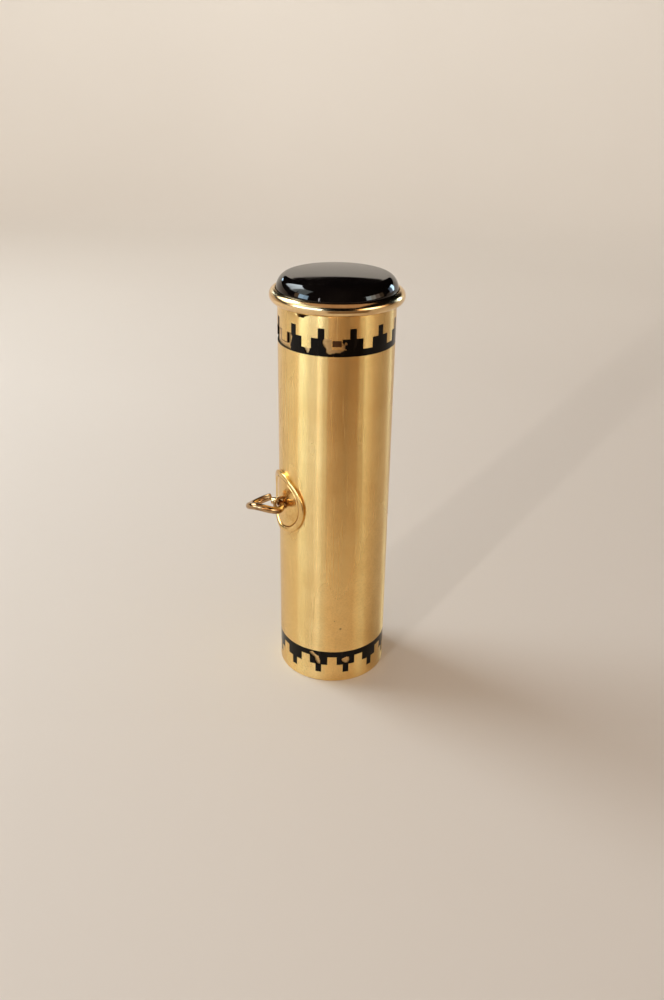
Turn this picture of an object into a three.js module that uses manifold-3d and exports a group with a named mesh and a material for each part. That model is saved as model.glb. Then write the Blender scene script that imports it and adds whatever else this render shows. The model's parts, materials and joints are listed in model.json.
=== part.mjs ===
// A gold lipstick case with enamel bands, an onyx head and a chain ring. Millimetres, +Z up.
// The origin is the centre of the base, and the ring is on the -X side.
// The tube is the cover. The head lifts out of it and carries a turn-up lipstick, tip down.

import * as THREE from "three";
import { mergeVertices } from "three/addons/utils/BufferGeometryUtils.js";
import Module from "manifold-3d";

const wasm = await Module();
wasm.setup();

// ---------- driving dimensions ----------

const ROUND = 72; // sides of the case and the head
const INNER_ROUND = 48; // sides of the pieces inside
const SEAT = 0.05; // gap between pieces that are soldered, pressed or set together
const DEG = Math.PI / 180;

const CASE_R = 8;
const CASE_BORE_R = 7.2;
const CASE_TOP = 56.7;
const CASE_EDGE = 0.15;
const FLOOR_THICK = 0.8;

const TOWERS = 12;
const TOWER_PITCH = 360 / TOWERS;
const TOWER_START = 16; // the plaque sits nearly midway between two towers
const STEP_HALF = 10;
const SPIRE_HALF = 3.25;
const ENAMEL_DEPTH = 0.25;

// Heights of each band, from its plain edge to the tips of its towers.
const UPPER_BAND = { edge: 51.45, strip: 52.4, step: 53.8, tip: 55.15 };
const LOWER_BAND = { edge: 5.35, strip: 4.3, step: 3.0, tip: 1.6 };

const NOTCH_ANGLE = -66;
const NOTCH_WIDE = 2.4;
const NOTCH_DEEP = 0.3;
const NOTCH_TALL = 0.45;

const PLAQUE_Z = 28.45;
const PLAQUE_TURN = -3; // degrees round the tube from -X towards -Y
const PLAQUE_R = 4.6;
const FIELD_R = 3.75;
const FIELD_RISE = 0.3;
const BORDER_RISE = 0.56;

const WIRE_R = 0.52;
const RING_R = 2.28;
const RING_CUT = 6; // degrees taken out of the ring
const RING_CUT_AT = -137;
const RING_TILT = 7.3; // degrees that its outer side stands up
const RING_LEAN = 11; // degrees that its -Y side stands up
const RING_PITCH = 0.17; // rise from one end to the other
const RING_LIFT = 0.38; // how far the free end is lifted above that
const RING_BOW = 0.14; // bends of the ring out of its plane
const RING_TWIST = 0.26;
const EYE_WIRE_R = 0.22;
const EYE_R = WIRE_R + 0.1 + EYE_WIRE_R;
const PIVOT_X = -(CASE_R + FIELD_RISE + SEAT + WIRE_R);
const PIVOT_Z = 28.5;

const BEAD_R = 0.9;
const BEAD_RING_R = 8.2;
const HEAD_BASE = CASE_TOP + SEAT;
const BEAD_Z = HEAD_BASE + BEAD_R;
const SETTING_R = 8.26;
const LEDGE_Z = 57.55;
const HEAD_BORE_R = 7.3;

const STONE_R = 8.2;
const STONE_GIRDLE = 58.26;
const STONE_SHOULDER_R = 6.7;
const STONE_SHOULDER_Z = 60.32;
const STONE_CROWN = 0.24;

const PLATE_Z = [56.9, 57.5];
const RIVET_R = 0.9;
const RIVET_HEAD_R = 1.8;

const SHELL_R = [6.55, 6.95];
const SHELL_Z = [23.4, 56.4];
const FINGERS = 6;
const FINGER_SLIT = 0.5;
const FINGER_LONG = 9;

const SPIRAL_R = [6.0, 6.45];
const SPIRAL_Z = [24.6, 56.2];

const GUIDE_R = [5.5, 5.9];
const GUIDE_Z = [23.6, 56.85];
const GUIDE_END = 0.6;
const CLIP_Z = 24.1;
const CLIP_THICK = 0.35;
const CLIP_GROOVE = 0.15;

const CUP_R = [4.95, 5.4];
const CUP_Z = [44, 54];
const CUP_END = 0.6;
const LUG_Z = 51;
const LUG_R = 0.5;
const SLOT_HALF = 0.62;
const TRAVEL = 18; // how far the lipstick comes out in one turn of the head

const BULLET_R = 4.85;
const BULLET_Z = [26, 53.2];
const BULLET_SLANT = 5.5;

// ---------- materials ----------

const metal = (color, roughness) =>
  new THREE.MeshStandardMaterial({ color, roughness, metalness: 1 });
const plain = (color, roughness) =>
  new THREE.MeshStandardMaterial({ color, roughness, metalness: 0 });

const gold = metal(0xd2a05a, 0.22);
const polishedGold = metal(0xdaa860, 0.1);
const satinGold = metal(0xc99a58, 0.35);
const brass = metal(0xc2a160, 0.4);
const steel = metal(0xb8b8b4, 0.35);
const enamel = plain(0x120904, 0.18);
const onyx = plain(0x060505, 0.08);
const fibre = plain(0x6b4a32, 0.8);
const lipstick = plain(0xa8141e, 0.35);

// ---------- solids and booleans ----------

function toSolid(geometry) {
  const bare = geometry.clone();
  bare.deleteAttribute("normal");
  bare.deleteAttribute("uv");
  const merged = mergeVertices(bare, 1e-4);
  return new wasm.Manifold(
    new wasm.Mesh({
      numProp: 3,
      vertProperties: merged.attributes.position.array,
      triVerts: new Uint32Array(merged.index.array),
    }),
  );
}

function toGeometry(solid) {
  const { vertProperties, triVerts } = solid.getMesh();
  const geometry = new THREE.BufferGeometry();
  geometry.setAttribute("position", new THREE.BufferAttribute(vertProperties, 3));
  geometry.setIndex(new THREE.BufferAttribute(triVerts, 1));
  geometry.computeVertexNormals();
  return geometry;
}

function cut(geometry, cutters) {
  let solid = toSolid(geometry);
  for (const cutter of cutters) {
    solid = solid.subtract(toSolid(cutter));
  }
  return toGeometry(solid);
}

// A profile of [radius, height] pairs turned about +Z. It runs anticlockwise with radius to the right.
function turned(profile, sides = ROUND) {
  const points = profile.map(([radius, height]) => new THREE.Vector2(radius, height));
  return new THREE.LatheGeometry(points, sides).rotateX(Math.PI / 2);
}

function closed(profile) {
  return [...profile, profile[0]];
}

function sleeve([inner, outer], [low, high], sides = ROUND) {
  return turned(closed([[inner, low], [outer, low], [outer, high], [inner, high]]), sides);
}

// Points of an arc in a profile, from one angle to another, both included.
function arc(centreR, centreZ, radiusR, radiusZ, from, to, steps) {
  const points = [];
  for (let i = 0; i <= steps; i++) {
    const angle = (from + ((to - from) * i) / steps) * DEG;
    points.push([centreR + radiusR * Math.cos(angle), centreZ + radiusZ * Math.sin(angle)]);
  }
  return points;
}

// An angle round the tube is counted from -Y towards +X.
function around(radius, angle, height) {
  const turn = angle * DEG;
  return new THREE.Vector3(radius * Math.sin(turn), -radius * Math.cos(turn), height);
}

// A block swept round the axis: at each stop it holds the angle and its lowest and highest heights.
function sweptBlock(inner, outer, stops) {
  const positions = [];
  const index = [];
  for (const { angle, low, high } of stops) {
    for (const [radius, height] of [[inner, low], [outer, low], [outer, high], [inner, high]]) {
      positions.push(...around(radius, angle, height).toArray());
    }
  }
  for (let i = 0; i < stops.length - 1; i++) {
    for (let side = 0; side < 4; side++) {
      const a = 4 * i + side;
      const b = 4 * i + ((side + 1) % 4);
      index.push(a, a + 4, b, b, a + 4, b + 4);
    }
  }
  const last = 4 * (stops.length - 1);
  index.push(0, 1, 2, 0, 2, 3);
  index.push(last, last + 2, last + 1, last, last + 3, last + 2);
  const geometry = new THREE.BufferGeometry();
  geometry.setAttribute("position", new THREE.Float32BufferAttribute(positions, 3));
  geometry.setIndex(index);
  return geometry;
}

function sector(inner, outer, from, to, low, high) {
  const steps = Math.max(2, Math.ceil((to - from) / 4));
  const stops = [];
  for (let i = 0; i <= steps; i++) {
    stops.push({ angle: from + ((to - from) * i) / steps, low, high });
  }
  return sweptBlock(inner, outer, stops);
}

// ---------- the assembly ----------

const assembly = new THREE.Group();

function add(name, geometry, material) {
  const mesh = new THREE.Mesh(geometry, material);
  mesh.name = name;
  assembly.add(mesh);
}

// ---------- case ----------

// A stepped band between two radii, grown by a margin all round.
function steppedBand({ edge, strip, step, tip }, inner, outer, grow) {
  const up = Math.sign(tip - edge);
  const span = (a, b) => [Math.min(a, b), Math.max(a, b)];
  const growAngle = grow / CASE_R / DEG;
  const beyond = tip + up;
  const cutters = [];
  for (let i = 0; i < TOWERS; i++) {
    const centre = TOWER_START + TOWER_PITCH * (i + 0.5);
    const valley = TOWER_PITCH / 2 - STEP_HALF - growAngle;
    const shoulder = TOWER_PITCH / 2 - SPIRE_HALF - growAngle;
    const cutterR = [inner - 1, outer + 1];
    cutters.push(
      sector(...cutterR, centre - valley, centre + valley, ...span(strip + up * grow, beyond)),
      sector(...cutterR, centre - shoulder, centre + shoulder, ...span(step + up * grow, beyond)),
    );
  }
  return cut(sleeve([inner, outer], span(edge - up * grow, tip + up * grow)), cutters);
}

function caseTube() {
  const tube = turned(
    closed([
      [CASE_BORE_R, 0],
      [CASE_R - CASE_EDGE, 0],
      [CASE_R - CASE_EDGE / 3, CASE_EDGE / 3],
      [CASE_R, CASE_EDGE],
      [CASE_R, CASE_TOP],
      [CASE_BORE_R, CASE_TOP],
    ]),
  );
  const recessR = [CASE_R - ENAMEL_DEPTH - SEAT, CASE_R + 1];
  const notch = new THREE.BoxGeometry(NOTCH_WIDE, 2 * NOTCH_DEEP, 2 * NOTCH_TALL)
    .rotateZ(NOTCH_ANGLE * DEG)
    .translate(...around(CASE_R, NOTCH_ANGLE, CASE_TOP).toArray());
  return cut(tube, [
    steppedBand(UPPER_BAND, ...recessR, SEAT),
    steppedBand(LOWER_BAND, ...recessR, SEAT),
    notch,
  ]);
}

function enamelBand(band) {
  return steppedBand(band, CASE_R - ENAMEL_DEPTH, CASE_R, 0);
}

function caseFloor() {
  const rim = CASE_BORE_R - SEAT;
  return turned([
    [0, 0],
    [rim, 0],
    [rim, FLOOR_THICK],
    [0, FLOOR_THICK],
  ]);
}

// Bends a piece drawn flat, with its face towards +Z, round the tube on the -X side.
function wrapOnTube(geometry) {
  const place = geometry.attributes.position;
  for (let i = 0; i < place.count; i++) {
    const side = place.getX(i) / CASE_R + PLAQUE_TURN * DEG;
    const radius = CASE_R + place.getZ(i);
    place.setXYZ(i, -radius * Math.cos(side), -radius * Math.sin(side), PLAQUE_Z + place.getY(i));
  }
  geometry.computeVertexNormals();
  return geometry;
}

function plaquePlate() {
  const radii = [0.25, 0.5, 0.75].map((part) => part * FIELD_R);
  return wrapOnTube(
    turned(
      [
        [0, SEAT],
        ...radii.map((radius) => [radius, SEAT]),
        [FIELD_R - SEAT, SEAT],
        [FIELD_R - SEAT, FIELD_RISE - 0.06],
        [FIELD_R - SEAT - 0.1, FIELD_RISE],
        ...radii.reverse().map((radius) => [radius, FIELD_RISE]),
        [0, FIELD_RISE],
      ],
      40,
    ),
  );
}

function plaqueBorder() {
  const ridgeR = 4.15;
  return wrapOnTube(
    turned(
      closed([
        [FIELD_R, SEAT],
        [ridgeR, SEAT],
        [PLAQUE_R, SEAT],
        [PLAQUE_R - 0.05, 0.2],
        [PLAQUE_R - 0.2, 0.4],
        [ridgeR + 0.05, BORDER_RISE - 0.02],
        [ridgeR - 0.05, BORDER_RISE],
        [ridgeR - 0.25, BORDER_RISE - 0.12],
        [FIELD_R, FIELD_RISE],
      ]),
      40,
    ),
  );
}

// A staple that stands on the plate, with its loop in the XZ plane.
function ringEye() {
  const points = [];
  const foot = CASE_R + FIELD_RISE + SEAT;
  const pivot = -PIVOT_X;
  points.push(new THREE.Vector3(-foot, 0, PIVOT_Z - EYE_R));
  for (let angle = -90; angle <= 90; angle += 15) {
    const out = pivot + EYE_R * Math.cos(angle * DEG);
    points.push(new THREE.Vector3(-out, 0, PIVOT_Z + EYE_R * Math.sin(angle * DEG)));
  }
  points.push(new THREE.Vector3(-foot, 0, PIVOT_Z + EYE_R));
  return wireAlong(points, EYE_WIRE_R, 10, 28);
}

function wireAlong(points, radius, sides, steps) {
  const section = new THREE.Shape();
  for (let i = 0; i < sides; i++) {
    const angle = (2 * Math.PI * i) / sides;
    const corner = [radius * Math.cos(angle), radius * Math.sin(angle)];
    if (i === 0) {
      section.moveTo(...corner);
    } else {
      section.lineTo(...corner);
    }
  }
  section.closePath();
  const extrudePath = new THREE.CatmullRomCurve3(points);
  return new THREE.ExtrudeGeometry(section, { steps, extrudePath });
}

add("case_tube", caseTube(), gold);
add("case_floor", caseFloor(), gold);
add("upper_enamel_band", enamelBand(UPPER_BAND), enamel);
add("lower_enamel_band", enamelBand(LOWER_BAND), enamel);
add("plaque_plate", plaquePlate(), satinGold);
add("plaque_border", plaqueBorder(), gold);
add("ring_eye", ringEye(), gold);

// ---------- ring ----------

// The ring's inner side passes through the eye. Its ends are twisted apart, so it isn't quite flat.
function splitRing() {
  const tilt = RING_TILT * DEG;
  const lean = RING_LEAN * DEG;
  const outward = new THREE.Vector3(-Math.cos(tilt), 0, Math.sin(tilt));
  const sideways = new THREE.Vector3(0, -Math.cos(lean), Math.sin(lean));
  const normal = new THREE.Vector3().crossVectors(outward, sideways).normalize();
  const span = 360 - RING_CUT;
  // How far the wire lies out of the ring's plane, by degrees from the outer side.
  const bend = (turn) => {
    const along = (turn - RING_CUT_AT - RING_CUT / 2) / span;
    const free = Math.max(0, 1 - 3 * along);
    const wave = RING_BOW * Math.cos(2 * turn * DEG) + RING_TWIST * Math.sin(2 * turn * DEG);
    return RING_PITCH * (0.5 - along) + RING_LIFT * free * free + wave;
  };
  const centre = new THREE.Vector3(PIVOT_X, 0, PIVOT_Z);
  centre.addScaledVector(outward, RING_R);
  centre.addScaledVector(normal, -bend(180));
  const points = [];
  const stops = 30;
  for (let i = 0; i <= stops; i++) {
    const turn = RING_CUT_AT + RING_CUT / 2 + (span * i) / stops;
    const point = centre.clone();
    point.addScaledVector(outward, RING_R * Math.cos(turn * DEG));
    point.addScaledVector(sideways, RING_R * Math.sin(turn * DEG));
    point.addScaledVector(normal, bend(turn));
    points.push(point);
  }
  return wireAlong(points, WIRE_R, 12, 48);
}

add("split_ring", splitRing(), gold);

// ---------- head ----------

function bezelRim() {
  return turned(
    closed([
      [HEAD_BORE_R, HEAD_BASE],
      ...arc(BEAD_RING_R, BEAD_Z, BEAD_R, BEAD_R, -90, 82, 10),
      [SETTING_R, BEAD_Z + BEAD_R - 0.03],
      [SETTING_R, LEDGE_Z],
      [HEAD_BORE_R, LEDGE_Z],
    ]),
  );
}

function onyxCabochon() {
  const shoulder = arc(
    STONE_SHOULDER_R,
    STONE_GIRDLE,
    STONE_R - STONE_SHOULDER_R,
    STONE_SHOULDER_Z - STONE_GIRDLE,
    0,
    84,
    6,
  );
  const crown = [1, 0.7, 0.35, 0].map((part) => [
    part * STONE_SHOULDER_R,
    STONE_SHOULDER_Z + STONE_CROWN * (1 - part * part),
  ]);
  return turned(
    [[0, LEDGE_Z + SEAT], [STONE_R - 0.15, LEDGE_Z + SEAT], [STONE_R, LEDGE_Z + 0.2], ...shoulder, ...crown],
  );
}

function stoneBacking() {
  const hole = RIVET_R + SEAT;
  return sleeve([hole, HEAD_BORE_R - SEAT], PLATE_Z, INNER_ROUND);
}

function centreRivet() {
  const wallUnder = GUIDE_Z[1] - GUIDE_END;
  const headTop = wallUnder - SEAT;
  return turned(
    [
      [0, headTop - 0.5],
      [RIVET_HEAD_R - 0.4, headTop - 0.5],
      [RIVET_HEAD_R, headTop - 0.2],
      [RIVET_HEAD_R, headTop],
      [RIVET_R, headTop],
      [RIVET_R, PLATE_Z[1]],
      [0, PLATE_Z[1]],
    ],
    INNER_ROUND / 2,
  );
}

// A tube with a straight slot on each side, an end wall at the top and a groove for the clip.
function guideTube() {
  const [inner, outer] = GUIDE_R;
  const [low, high] = GUIDE_Z;
  const grooveZ = [CLIP_Z - SEAT, CLIP_Z + CLIP_THICK + SEAT];
  const grooveR = outer - CLIP_GROOVE;
  const tube = turned(
    closed([
      [inner, low],
      [outer, low],
      [outer, grooveZ[0]],
      [grooveR, grooveZ[0]],
      [grooveR, grooveZ[1]],
      [outer, grooveZ[1]],
      [outer, high],
      [RIVET_R + SEAT, high],
      [RIVET_R + SEAT, high - GUIDE_END],
      [inner, high - GUIDE_END],
    ]),
    INNER_ROUND,
  );
  const slotLong = TRAVEL + 2 * SLOT_HALF;
  const slots = new THREE.BoxGeometry(4 * outer, 2 * SLOT_HALF, slotLong).translate(
    0,
    0,
    LUG_Z - TRAVEL / 2,
  );
  return cut(tube, [slots]);
}

function dragWasher() {
  return sleeve([SPIRAL_R[0] + 0.1, SHELL_R[1]], [SHELL_Z[1] + SEAT, PLATE_Z[0] - SEAT], INNER_ROUND);
}

// An open clip in the guide tube's groove. It keeps the spiral and its shell on the guide tube.
function retainingRing() {
  const radii = [GUIDE_R[1] - CLIP_GROOVE + SEAT, SPIRAL_R[1] - SEAT];
  return sector(...radii, 20, 340, CLIP_Z, CLIP_Z + CLIP_THICK);
}

add("bezel_rim", bezelRim(), polishedGold);
add("onyx_cabochon", onyxCabochon(), onyx);
add("stone_backing", stoneBacking(), satinGold);
add("centre_rivet", centreRivet(), brass);
add("guide_tube", guideTube(), brass);
add("drag_washer", dragWasher(), fibre);
add("retaining_ring", retainingRing(), steel);

// ---------- insert: the shell that is held in the fingers, and the spiral fixed in it ----------

function gripShell() {
  const slits = [];
  for (let i = 0; i < FINGERS; i++) {
    const angle = (360 / FINGERS) * (i + 0.5);
    slits.push(
      new THREE.BoxGeometry(FINGER_SLIT, 2, 2 * FINGER_LONG)
        .rotateZ(angle * DEG)
        .translate(...around(SHELL_R[1], angle, SHELL_Z[0]).toArray()),
    );
  }
  return cut(sleeve(SHELL_R, SHELL_Z, INNER_ROUND), slits);
}

// Each lug runs down one helical slot as the head turns. The slot is opened out at its two ends.
function spiralSleeve() {
  const [inner, outer] = SPIRAL_R;
  const slack = (SLOT_HALF / outer / DEG) * 1.1;
  const drop = TRAVEL / 360;
  const halfTall = SLOT_HALF * 1.15;
  const steps = 32;
  const slots = [0, 180].map((start) => {
    const stops = [];
    for (let i = 0; i <= steps; i++) {
      const turn = -slack + ((360 + 2 * slack) * i) / steps;
      const middle = LUG_Z - drop * turn;
      stops.push({ angle: start + 90 + turn, low: middle - halfTall, high: middle + halfTall });
    }
    return sweptBlock(inner - 0.3, outer + 0.3, stops);
  });
  return cut(sleeve(SPIRAL_R, SPIRAL_Z, INNER_ROUND), slots);
}

add("grip_shell", gripShell(), satinGold);
add("spiral_sleeve", spiralSleeve(), brass);

// ---------- carrier: the cup, its two lugs and the lipstick ----------

function carrierCup() {
  const [inner, outer] = CUP_R;
  const [low, high] = CUP_Z;
  const cup = turned(
    [
      [0, high - CUP_END],
      [inner, high - CUP_END],
      [inner, low],
      [outer, low],
      [outer, high],
      [0, high],
    ],
    INNER_ROUND,
  );
  const holes = new THREE.CylinderGeometry(LUG_R + SEAT, LUG_R + SEAT, 4 * outer, 16)
    .rotateZ(Math.PI / 2)
    .translate(0, 0, LUG_Z);
  return cut(cup, [holes]);
}

function carrierLug(side) {
  const from = CUP_R[0] + SEAT;
  const to = SPIRAL_R[1] - SEAT;
  return new THREE.CylinderGeometry(LUG_R, LUG_R, to - from, 16)
    .rotateZ(Math.PI / 2)
    .translate((side * (from + to)) / 2, 0, LUG_Z);
}

// The tip is sliced at a slant, with its longest side towards -Y.
function lipstickBullet() {
  const [tip, top] = BULLET_Z;
  const stick = turned(
    [
      [0, tip],
      [BULLET_R * 0.55, tip + 0.25],
      [BULLET_R * 0.85, tip + 1.1],
      [BULLET_R, tip + 2.6],
      [BULLET_R, top],
      [0, top],
    ],
    INNER_ROUND,
  );
  const slice = new THREE.BoxGeometry(40, 40, 20)
    .translate(0, 0, -10)
    .rotateX(Math.atan2(BULLET_SLANT, 2 * BULLET_R))
    .translate(0, 0, tip + BULLET_SLANT / 2);
  return cut(stick, [slice]);
}

add("carrier_cup", carrierCup(), brass);
add("carrier_lug_a", carrierLug(1), brass);
add("carrier_lug_b", carrierLug(-1), brass);
add("lipstick_bullet", lipstickBullet(), lipstick);

export default assembly;
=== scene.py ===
# The lipstick case's looks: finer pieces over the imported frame, their materials, the light and the camera.
# Lengths are in metres. MM turns the named millimetre sizes into metres.
import json
import math

import bpy
from mathutils import Matrix, Vector, noise


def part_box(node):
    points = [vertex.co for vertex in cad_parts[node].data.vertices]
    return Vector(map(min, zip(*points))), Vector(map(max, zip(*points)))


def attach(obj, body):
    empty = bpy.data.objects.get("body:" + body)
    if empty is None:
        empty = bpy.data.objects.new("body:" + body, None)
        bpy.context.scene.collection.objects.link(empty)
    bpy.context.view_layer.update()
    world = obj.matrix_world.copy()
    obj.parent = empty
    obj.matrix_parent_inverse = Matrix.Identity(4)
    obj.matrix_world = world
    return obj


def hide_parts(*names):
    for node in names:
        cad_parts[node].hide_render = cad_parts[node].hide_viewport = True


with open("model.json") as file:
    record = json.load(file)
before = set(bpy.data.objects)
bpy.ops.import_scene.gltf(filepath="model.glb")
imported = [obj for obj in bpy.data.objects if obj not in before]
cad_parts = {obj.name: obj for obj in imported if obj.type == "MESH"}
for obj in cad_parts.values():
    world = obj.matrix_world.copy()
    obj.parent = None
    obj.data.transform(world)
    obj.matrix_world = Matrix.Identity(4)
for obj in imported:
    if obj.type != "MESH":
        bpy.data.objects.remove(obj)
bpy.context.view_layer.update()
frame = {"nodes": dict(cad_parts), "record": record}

MM = 0.001
DEG = math.pi / 180

# ---------- sizes read from the frame ----------


def corners(node):
    low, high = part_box(node)
    return Vector(low), Vector(high)


FLOOR_LOW, FLOOR_HIGH = corners("case_floor")
UPPER_LOW, UPPER_HIGH = corners("upper_enamel_band")
LOWER_LOW, LOWER_HIGH = corners("lower_enamel_band")
TUBE_LOW, TUBE_HIGH = corners("case_tube")
RIM_LOW, RIM_HIGH = corners("bezel_rim")
STONE_LOW, STONE_HIGH = corners("onyx_cabochon")
PLATE_LOW, PLATE_HIGH = corners("plaque_plate")
BORDER_LOW, BORDER_HIGH = corners("plaque_border")
EYE_LOW, EYE_HIGH = corners("ring_eye")
SHELL_LOW, SHELL_HIGH = corners("grip_shell")
BULLET_LOW, BULLET_HIGH = corners("lipstick_bullet")

CASE_R = UPPER_HIGH.x
CASE_TOP = TUBE_HIGH.z
FLOOR_GAP = 0.05 * MM
BORE_R = FLOOR_HIGH.x + FLOOR_GAP
SWING = next(joint for joint in frame["record"]["behaviour"]["joints"] if joint["name"] == "ring_swing")
PIVOT = Vector(SWING["pos_m"])

# ---------- mesh helpers ----------


def around(radius, angle, height):
    """A point by its angle round the tube, in degrees from -Y towards +X."""
    return Vector((radius * math.sin(angle * DEG), -radius * math.cos(angle * DEG), height))


def piece(name, points, faces, material, body, stands_for=(), sharp=35, others=(), slots=None):
    """A mesh object that rides on a body and hides the CAD nodes that it stands for. Its faces take
    the material, or the one of the others that slots gives for them, counted from 1."""
    mesh = bpy.data.meshes.new(name)
    mesh.from_pydata([tuple(point) for point in points], [], faces)
    for polygon in mesh.polygons:
        polygon.use_smooth = True
        if slots:
            polygon.material_index = slots[polygon.index]
    mesh.validate()
    mesh.set_sharp_from_angle(angle=sharp * DEG)
    made = bpy.data.objects.new(name, mesh)
    bpy.context.collection.objects.link(made)
    for finish in (material, *others):
        mesh.materials.append(finish)
    if stands_for:
        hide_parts(*stands_for)
    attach(made, body)
    return made


def turned(profile, sides, bend=None):
    """Points and faces of a profile of (radius, height) turned about Z. The profile is closed on
    itself, or starts and ends on the axis. It runs anticlockwise with the radius to the right."""
    points = []
    faces = []
    rings = []
    for radius, height in profile:
        if radius < 1e-9:
            rings.append([len(points)])
            points.append(Vector((0, 0, height)))
            continue
        rings.append(range(len(points), len(points) + sides))
        points.extend(around(radius, 360 * side / sides, height) for side in range(sides))
    open_ended = profile[0][0] < 1e-9
    pairs = list(zip(rings, rings[1:]))
    if not open_ended:
        pairs.append((rings[-1], rings[0]))
    for lower, upper in pairs:
        for side in range(sides):
            following = (side + 1) % sides
            if len(lower) == 1:
                faces.append((lower[0], upper[following], upper[side]))
            elif len(upper) == 1:
                faces.append((lower[side], lower[following], upper[0]))
            else:
                faces.append((lower[side], lower[following], upper[following], upper[side]))
    if bend:
        points = [bend(point) for point in points]
    return points, faces


def arc(centre_r, centre_z, radius_r, radius_z, start, end, steps):
    """Points of an arc in a profile, from one angle to another in degrees, both included."""
    angles = [(start + (end - start) * step / steps) * DEG for step in range(steps + 1)]
    return [(centre_r + radius_r * math.cos(a), centre_z + radius_z * math.sin(a)) for a in angles]


def cap_stations(end, tangent, inward, radius, cap_round):
    """Stations of a wire's end, from its flat face inwards: place, tangent and width."""
    stations = [(end, tangent, radius - cap_round)]
    steps = 5 if cap_round else 1
    for step in range(1, steps):
        turn = step / steps * math.pi / 2
        reach = cap_round * (1 - math.cos(turn))
        width = radius - cap_round * (1 - math.sin(turn))
        stations.append((end + inward * reach, tangent, width))
    return stations


def swept(path, radius, sides, cap_round=0.0):
    """A round wire along a path. Its ends are flat with an edge rounded by cap_round."""
    tangents = []
    for index in range(len(path)):
        before = path[max(index - 1, 0)]
        after = path[min(index + 1, len(path) - 1)]
        tangents.append((after - before).normalized())
    first, last = tangents[0], tangents[-1]
    stations = cap_stations(path[0], first, first, radius, cap_round)
    stations.extend((point, tangent, radius) for point, tangent in zip(path[1:-1], tangents[1:-1]))
    stations.extend(reversed(cap_stations(path[-1], last, -last, radius, cap_round)))
    points = []
    faces = []
    across = tangents[0].orthogonal().normalized()
    for point, tangent, width in stations:
        across = (across - tangent * across.dot(tangent)).normalized()
        other = tangent.cross(across)
        for side in range(sides):
            turn = 2 * math.pi * side / sides
            points.append(point + (across * math.cos(turn) + other * math.sin(turn)) * width)
    for ring in range(len(stations) - 1):
        low = ring * sides
        for side in range(sides):
            following = (side + 1) % sides
            faces.append((low + side, low + following, low + sides + following, low + sides + side))
    faces.append(tuple(reversed(range(sides))))
    faces.append(tuple(range(len(points) - sides, len(points))))
    return points, faces


# ---------- material helpers ----------


class Shader:
    """Builds a node material step by step."""

    def __init__(self, name):
        self.material = bpy.data.materials.new(name)
        self.material.use_nodes = True
        self.nodes = self.material.node_tree.nodes
        self.links = self.material.node_tree.links
        self.surface = self.nodes["Principled BSDF"]
        self.place = self.node("ShaderNodeTexCoord").outputs["Object"]

    def node(self, kind, **values):
        made = self.nodes.new(kind)
        for key, value in values.items():
            setattr(made, key, value)
        return made

    def link(self, source, target):
        self.links.new(source, target)

    def stretched(self, scale):
        mapping = self.node("ShaderNodeMapping")
        mapping.inputs["Scale"].default_value = scale
        self.link(self.place, mapping.inputs["Vector"])
        return mapping.outputs["Vector"]

    def noise(self, scale, detail=4.0, roughness=0.5, stretch=(1, 1, 1), distortion=0.0):
        made = self.node("ShaderNodeTexNoise")
        made.inputs["Scale"].default_value = scale
        made.inputs["Detail"].default_value = detail
        made.inputs["Roughness"].default_value = roughness
        made.inputs["Distortion"].default_value = distortion
        self.link(self.stretched(stretch), made.inputs["Vector"])
        return made.outputs["Fac"]

    def band(self, source, low, high, to_low=0.0, to_high=1.0):
        """Maps low..high of a value to to_low..to_high, and holds it beyond."""
        made = self.node("ShaderNodeMapRange", clamp=True)
        self.link(source, made.inputs["Value"])
        for key, value in (("From Min", low), ("From Max", high), ("To Min", to_low), ("To Max", to_high)):
            made.inputs[key].default_value = value
        return made.outputs["Result"]

    def maths(self, operation, first, second):
        made = self.node("ShaderNodeMath", operation=operation)
        for socket, value in zip(made.inputs, (first, second)):
            if isinstance(value, (int, float)):
                socket.default_value = value
            else:
                self.link(value, socket)
        return made.outputs["Value"]

    def mix(self, factor, first, second):
        made = self.node("ShaderNodeMix", data_type="RGBA")
        if isinstance(factor, (int, float)):
            made.inputs["Factor"].default_value = factor
        else:
            self.link(factor, made.inputs["Factor"])
        for socket, value in ((made.inputs["A"], first), (made.inputs["B"], second)):
            if isinstance(value, tuple):
                socket.default_value = (*value, 1)
            else:
                self.link(value, socket)
        return made.outputs["Result"]

    def bump(self, height, strength, distance, onto=None):
        made = self.node("ShaderNodeBump")
        made.inputs["Strength"].default_value = strength
        made.inputs["Distance"].default_value = distance
        self.link(height, made.inputs["Height"])
        if onto:
            self.link(onto, made.inputs["Normal"])
        return made.outputs["Normal"]

    def set(self, **values):
        for key, value in values.items():
            socket = self.surface.inputs[key.replace("_", " ")]
            if isinstance(value, bpy.types.NodeSocket):
                self.link(value, socket)
            elif isinstance(value, tuple):
                socket.default_value = (*value, 1)
            else:
                socket.default_value = value
        return self.material


ANISO_TURN = 0.25
SPOT_BROWN = (0.22, 0.10, 0.035)


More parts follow.
